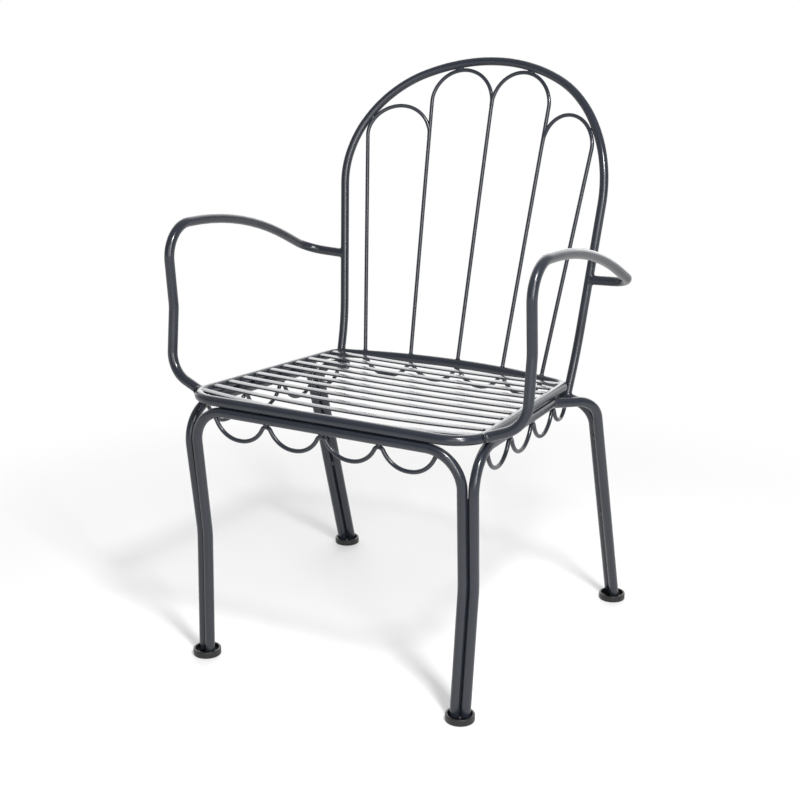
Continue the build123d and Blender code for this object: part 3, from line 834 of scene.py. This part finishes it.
def bead_tree():
    """Lumpy beads on points, each laid along one direction and facing another."""
    tree, given = new_tree("weld_beads", Lumps="Float", Draw="Int")
    ball = step(tree, "GeometryNodeMeshIcoSphere", Radius=1.0, Subdivisions=3)
    lying = step(tree, "FunctionNodeAlignRotationToVector", {"axis": "X"},
                 Vector=attribute(tree, "lie", "FLOAT_VECTOR"))
    facing = step(tree, "FunctionNodeAlignRotationToVector", {"axis": "Z", "pivot_axis": "X"},
                  Rotation=lying.outputs["Rotation"], Vector=attribute(tree, "face", "FLOAT_VECTOR"))
    uneven = step(tree, "FunctionNodeRandomValue", {"data_type": "FLOAT_VECTOR"}, Min=BEAD_LEAST,
                  Max=BEAD_MOST, Seed=given["Draw"])
    size = step(tree, "ShaderNodeVectorMath", {"operation": "MULTIPLY"})
    tree.links.new(attribute(tree, "size", "FLOAT_VECTOR"), size.inputs[0])
    tree.links.new(uneven.outputs["Value"], size.inputs[1])
    laid = step(tree, "GeometryNodeInstanceOnPoints", Points=given["Seed"], Instance=ball.outputs["Mesh"],
                Rotation=facing.outputs["Rotation"], Scale=size.outputs["Vector"])
    real = step(tree, "GeometryNodeRealizeInstances", Geometry=laid.outputs["Instances"])
    place = step(tree, "GeometryNodeInputPosition").outputs["Position"]
    lump = sum_of(tree, "SUBTRACT", noise(tree, place, LUMP_SCALE), 0.5)
    swell = sum_of(tree, "MULTIPLY", lump, given["Lumps"])
    push = step(tree, "ShaderNodeVectorMath", {"operation": "SCALE"}, Scale=swell)
    tree.links.new(step(tree, "GeometryNodeInputNormal").outputs["Normal"], push.inputs[0])
    lumpy = step(tree, "GeometryNodeSetPosition", Geometry=real.outputs["Geometry"],
                 Offset=push.outputs["Vector"])
    return ended(tree, lumpy.outputs["Geometry"], coat)


bead_maker = bead_tree()


def weld_beads(name, beads):
    """One piece of beads, each given by its place, its direction, the way it faces and its half sizes."""
    mesh = bpy.data.meshes.new(name + "_places")
    mesh.from_pydata([bead[0] + TO_FRAME for bead in beads], [], [])
    for k, key in enumerate(("lie", "face", "size"), start=1):
        values = mesh.attributes.new(key, "FLOAT_VECTOR", "POINT")
        for i, bead in enumerate(beads):
            values.data[i].vector = bead[k]
    piece = grown(name, mesh, bead_maker, Lumps=BEAD_LUMPS, Draw=BEAD_SEED)
    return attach(piece, "root")


def both_sides(beads):
    """The beads and their mirror images."""
    return beads + [(*across(bead[:3]), bead[3]) for bead in beads]


def leg_tacks(leg, half, heights, ways):
    """Beads in a leg's grooves: in the one on the camera's side for 1, in the far one for -1."""
    fall = leg(0.0) - leg(0.1)
    out = fall.cross(half).normalized()
    return [(leg(height) + out * way * TACK_OUT, fall, out * way, TACK_SIZE)
            for height in heights for way in ways]


for place, tacks in (
    ("front", leg_tacks(front_leg, front_half, FRONT_TACK_HEIGHTS, [-1])),
    ("rear", leg_tacks(rear_leg, rear_half, REAR_TACK_HEIGHTS, [1, -1])),
):
    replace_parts(weld_beads(f"right_{place}_tack_beads", tacks), f"right_{place}_leg_tacks")
    mirrored = both_sides(tacks)[len(tacks):]
    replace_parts(weld_beads(f"left_{place}_tack_beads", mirrored), f"left_{place}_leg_tacks")

RAIL_BEAD = (0.0110, 0.0030, 0.0026)
PEAK_BEAD = (0.0042, 0.0021, 0.0019)
PETAL_BEAD = (0.0060, 0.0022, 0.0022)
SLAT_BEAD = (0.0068, 0.0020, 0.0016)
SLAT_END_BEAD = (0.0026, 0.0024, 0.0020)
RAIL_OUT = 0.0046
FRONT_RAIL_XS = (0.055, 0.15)
SIDE_RAIL_YS = (-0.13, 0.0, 0.09)
PEAK_OUT = 0.0021
PEAK_TILT = 0.4
PETAL_OUT = 0.0032
TOUCH_SWEEP = 0.01
SLAT_BEAD_IN = 0.0006
SLAT_BEAD_DROP = 0.0004
X = Vector((1, 0, 0))
Y = Vector((0, 1, 0))
Z = Vector((0, 0, 1))

side_way = (side_rail[1] - side_rail[0]).normalized()
front_rail_z = seat_z(FRONT_Y) - STACK / 2
rail_beads = [(Vector((x, FRONT_Y + RAIL_OUT, front_rail_z)), X, Y, RAIL_BEAD) for x in FRONT_RAIL_XS]
rail_beads += [(on_seat(side_x(y) - RAIL_OUT, y, -STACK / 2), side_way, -X, RAIL_BEAD) for y in SIDE_RAIL_YS]
weld_beads("rail_beads", both_sides(rail_beads))


def peak_beads(peaks, way):
    """Two beads at each peak of a festoon, one on each side of the rod."""
    level = way.cross(Z).normalized()
    return [(peak + Z * (ROD_R + WELD_GAP / 2) + side * PEAK_OUT, way, side - Z * PEAK_TILT, PEAK_BEAD)
            for peak in peaks for side in (level, -level)]


weld_beads("festoon_beads", peak_beads(front_peaks, X) + peak_beads(rear_peaks, X)
           + both_sides(peak_beads(side_peaks, side_way)))

petal_beads = []
for middle, arch_middle, arch_r, ahead in (
    (inner_middle, crown_centre, CROWN_R, 0.0),
    (outer_middle, shoulder_centre, SHOULDER_R, OUTER_PETAL_AHEAD),
):
    bearing = math.atan2(middle[1] - arch_middle[1], middle[0] - arch_middle[0])
    touch = arch_r - TUBE_R - WELD_GAP / 2
    contact, further = [on_back(arch_middle[0] + touch * math.cos(a), arch_middle[1] + touch * math.sin(a),
                                ahead / 2) for a in (bearing, bearing + TOUCH_SWEEP)]
    way = (further - contact).normalized()
    for side in (1, -1):
        out = Vector((0, -side, 0))
        petal_beads.append((contact + out * PETAL_OUT, way, out, PETAL_BEAD))
weld_beads("petal_beads", both_sides(petal_beads))

slat_under = SLAT_RISE - SLAT_T / 2
slat_reach = math.sqrt(FRAME_R**2 - slat_under**2)
slat_ends = [(ring_half_w(y) - slat_reach, y) for y in slat_ys]
slat_beads = [(on_seat(x - SLAT_BEAD_IN, y, slat_under - SLAT_BEAD_DROP), Y, -X - Z, SLAT_BEAD)
              for x, y in slat_ends]
slat_beads += [(on_seat(x, y - SLAT_W / 2, SLAT_RISE), X, -Y, SLAT_END_BEAD) for x, y in slat_ends]
weld_beads("slat_beads", both_sides(slat_beads))

# Floor, light and camera
# A white studio floor that fades into a white surround, with a small and a tall softbox at the front right.
# The surround is brightest low behind the chair and dimmer on the camera's side, as in a white studio.
FLOOR_SIZE = 60.0
FLOOR_GLOW = 0.20
FLOOR_FADE = (0.60, 1.30)
FLOOR_GREY = (0.86, 0.86, 0.86, 1)
KEY_PLACE = (0.94, -0.85, 1.81)
KEY_SIZE = (0.24, 0.24)
KEY_POWER = 26.0
FILL_PLACE = (1.95, -1.75, 1.60)
FILL_SIZE = (0.42, 2.1)
FILL_POWER = 40.0
LAMP_AIM_H = 0.3
SMOOTH = {"interpolation_type": "SMOOTHSTEP"}

floor_mesh = bpy.data.meshes.new("studio_floor")
reach = FLOOR_SIZE / 2
floor_corners = [(-reach, -reach, 0), (reach, -reach, 0), (reach, reach, 0), (-reach, reach, 0)]
floor_mesh.from_pydata(floor_corners, [], [(0, 1, 2, 3)])
floor = bpy.data.objects.new("studio_floor", floor_mesh)
bpy.context.scene.collection.objects.link(floor)
paper = bpy.data.materials.new("white_floor")
paper.use_nodes = True
paper_tree = paper.node_tree
paper_tree.nodes.remove(paper_tree.nodes["Principled BSDF"])
matt = step(paper_tree, "ShaderNodeBsdfDiffuse", Color=FLOOR_GREY)
glow = step(paper_tree, "ShaderNodeEmission", Color=(1, 1, 1, 1), Strength=1.0)
floor_place = paper_tree.nodes.new("ShaderNodeTexCoord").outputs["Object"]
from_chair = step(paper_tree, "ShaderNodeVectorMath", {"operation": "LENGTH"})
paper_tree.links.new(floor_place, from_chair.inputs[0])
fade = mapped(paper_tree, from_chair.outputs["Value"], FLOOR_FADE, (FLOOR_GLOW, 1.0), SMOOTH)
rays = paper_tree.nodes.new("ShaderNodeLightPath")
seen = sum_of(paper_tree, "MAXIMUM", rays.outputs["Is Camera Ray"], rays.outputs["Is Glossy Ray"])
mix = step(paper_tree, "ShaderNodeMixShader", Fac=sum_of(paper_tree, "MULTIPLY", seen, fade))
paper_tree.links.new(matt.outputs["BSDF"], mix.inputs[1])
paper_tree.links.new(glow.outputs["Emission"], mix.inputs[2])
paper_tree.links.new(mix.outputs["Shader"], paper_tree.nodes["Material Output"].inputs["Surface"])
floor_mesh.materials.append(paper)

BEHIND = Vector((-0.470, 0.868, 0.160))
BEHIND_SPAN = (0.55, 0.98)
BEHIND_GLOW = (0.0, 2.6)
AHEAD = Vector((0.520, -0.845, 0.120))
AHEAD_SPAN = (0.80, 0.99)
AHEAD_GLOW = (0.0, 2.4)
WIDE_SPAN = (-0.8, 0.6)
WIDE_GLOW = (0.15, 0.50)
scene = bpy.context.scene
world = bpy.data.worlds.new("white_studio")
scene.world = world
world.use_nodes = True
sky_tree = world.node_tree
direction = sky_tree.nodes.new("ShaderNodeTexCoord").outputs["Generated"]


def glow_towards(side, span, glow):
    """World brightness that rises towards one side, between two cosines of the angle from it."""
    facing = step(sky_tree, "ShaderNodeVectorMath", {"operation": "DOT_PRODUCT"})
    sky_tree.links.new(direction, facing.inputs[0])
    facing.inputs[1].default_value = side.normalized()
    return mapped(sky_tree, facing.outputs["Value"], span, glow, SMOOTH)


wide = glow_towards(BEHIND, WIDE_SPAN, WIDE_GLOW)
far_wall = glow_towards(BEHIND, BEHIND_SPAN, BEHIND_GLOW)
near_wall = glow_towards(AHEAD, AHEAD_SPAN, AHEAD_GLOW)
walls = sum_of(sky_tree, "ADD", far_wall, near_wall)
rays = sky_tree.nodes.new("ShaderNodeLightPath")
shown = step(sky_tree, "ShaderNodeMix", Factor=rays.outputs["Is Camera Ray"], B=1.0)
sky_tree.links.new(sum_of(sky_tree, "ADD", wide, walls), shown.inputs["A"])
sky = sky_tree.nodes["Background"]
sky.inputs["Color"].default_value = (1, 1, 1, 1)
sky_tree.links.new(shown.outputs["Result"], sky.inputs["Strength"])

for name, place, size, power in (
    ("key_softbox", KEY_PLACE, KEY_SIZE, KEY_POWER),
    ("fill_softbox", FILL_PLACE, FILL_SIZE, FILL_POWER),
):
    lamp = bpy.data.lights.new(name, "AREA")
    lamp.shape = "RECTANGLE"
    lamp.size, lamp.size_y = size
    lamp.energy = power
    lamp_holder = bpy.data.objects.new(name, lamp)
    lamp_holder.location = place
    lamp_holder.rotation_euler = (Z * LAMP_AIM_H - Vector(place)).to_track_quat("-Z", "Y").to_euler()
    scene.collection.objects.link(lamp_holder)

CAMERA_PLACE = (1.06585, -2.00669, 1.06550)
CAMERA_RIGHT = Vector((0.8790, 0.4769, 0.0008))
CAMERA_DOWN = Vector((0.1382, -0.2531, -0.9575))
CAMERA_AHEAD = Vector((-0.4564, 0.8418, -0.2884))
CAMERA_SENSOR = 36.0
CAMERA_LENS = 66.78
CAMERA_SHIFT = (-0.0025, -0.0024)
CAMERA_REACH = 100.0

camera = bpy.data.cameras.new("photo_camera")
camera.sensor_width = CAMERA_SENSOR
camera.lens = CAMERA_LENS
camera.shift_x, camera.shift_y = CAMERA_SHIFT
camera.clip_end = CAMERA_REACH
holder = bpy.data.objects.new("photo_camera", camera)
axes = (CAMERA_RIGHT, -CAMERA_DOWN, -CAMERA_AHEAD)
turn = Matrix([axis.normalized() for axis in axes]).transposed()
holder.matrix_world = Matrix.Translation(CAMERA_PLACE) @ turn.to_4x4()
scene.collection.objects.link(holder)
scene.camera = holder
scene.view_settings.view_transform = "Standard"
